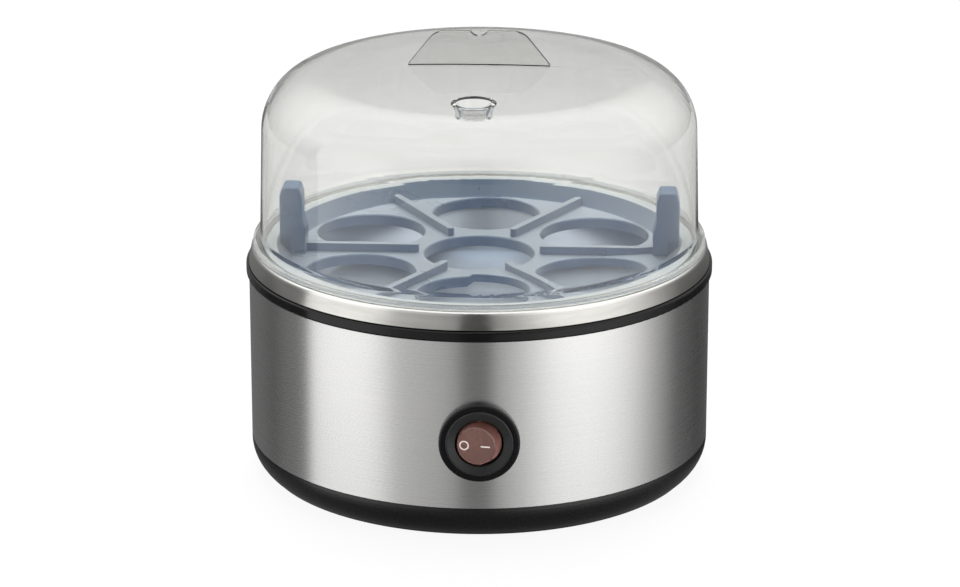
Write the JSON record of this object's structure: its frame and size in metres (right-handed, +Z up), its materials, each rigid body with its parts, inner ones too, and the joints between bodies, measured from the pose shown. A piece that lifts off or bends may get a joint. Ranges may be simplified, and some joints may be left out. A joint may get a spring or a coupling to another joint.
{
  "type": "electric egg cooker",
  "caption": "Round countertop egg steamer: heated water pan with a steel-banded base and rocker switch, a lift-out holed egg tray with lugs and a clear domed lid with a steam vent.",
  "frame": {"origin": "on the table under the centre of the whole part's box, on the body's axis", "axes": "+Z up along the body's axis, -Y towards the rocker switch, +Y towards the cord gland"},
  "size_m": [0.17, 0.1805, 0.1633],
  "materials": {
    "black_plastic": "satin, black phenolic",
    "black_gloss": "gloss, black nylon",
    "natural_plastic": "natural nylon",
    "shell_plastic": "black moulded shell",
    "brushed_band": "vertical-light brushed stainless",
    "polished_pan": "polished stainless",
    "clear_lid": "clear moulded plastic",
    "blue_tray": "translucent blue-grey polypropylene",
    "rocker_red": "translucent brown-red",
    "mark_white": "white pad print",
    "rubber": "matt rubber",
    "silicone": "grey silicone",
    "aluminium": "plain aluminium",
    "steel": "zinc-plated steel",
    "element_steel": "annealed sheath",
    "brass": "brass",
    "ceramic": "unglazed ceramic",
    "neon_glass": "clear glass",
    "lead_brown": "brown insulation",
    "lead_blue": "blue insulation",
    "lead_white": "glass-fibre braid sleeve",
    "lead_green": "green and yellow insulation"
  },
  "bodies": {
    "base": {"base_tub": "black_plastic", "rubber_feet": "rubber", "body_shell": "shell_plastic", "shell_rim": "shell_plastic", "steel_band": "brushed_band", "housing_screws": "steel", "collar_ring": "black_gloss", "collar_screws": "steel", "pan_seal": "silicone", "heating_pan": "polished_pan", "heat_spreader": "aluminium", "heating_element": "element_steel", "element_insulators": "ceramic", "element_pins": "steel", "pan_studs": "steel", "pan_strap": "steel", "earth_terminal": "brass", "pan_nuts": "steel", "thermostat_cap": "aluminium", "thermostat_body": "black_plastic", "thermostat_terminals": "brass", "thermostat_bracket": "steel", "thermal_fuse": "brass", "fuse_sleeve": "lead_white", "fuse_clip": "steel", "bracket_screws": "steel", "switch_surround": "black_plastic", "switch_housing": "black_gloss", "switch_terminals": "brass", "cord_gland": "black_plastic", "terminal_block": "natural_plastic", "terminal_screws": "brass", "live_lead": "lead_brown", "switched_lead": "lead_white", "fuse_lead": "lead_white", "element_lead": "lead_white", "neutral_lead": "lead_blue", "lamp_lead": "lead_blue", "earth_lead": "lead_green"},
    "tray": {"egg_tray": "blue_tray"},
    "cover": {"lid": "clear_lid"},
    "button": {"rocker": "rocker_red", "rocker_marks": "mark_white", "switch_lamp": "neon_glass", "rocker_plunger": "natural_plastic", "plunger_spring": "steel"},
    "contact": {"contact_blade": "brass"}
  },
  "joints": [
    {"name": "tray_lift", "type": "slide", "parent": "base", "child": "tray", "axis": [0, 0, 1], "range_m": [0, 0.12]},
    {"name": "lid_lift", "type": "slide", "parent": "tray", "child": "cover", "axis": [0, 0, 1], "range_m": [0, 0.15]},
    {"name": "rocker_turn", "type": "hinge", "parent": "base", "child": "button", "pos_m": [0, -0.0837, 0.0382], "axis": [0, 0, 1], "range_deg": [0, 24]},
    {"name": "contact_tilt", "type": "hinge", "parent": "base", "child": "contact", "pos_m": [0, -0.0737, 0.0382], "axis": [0, 0, 1], "range_deg": [-16, 0]}
  ],
  "couplings": [
    {"joint": "contact_tilt", "follows": "rocker_turn", "ratio": -0.6666}
  ]
}
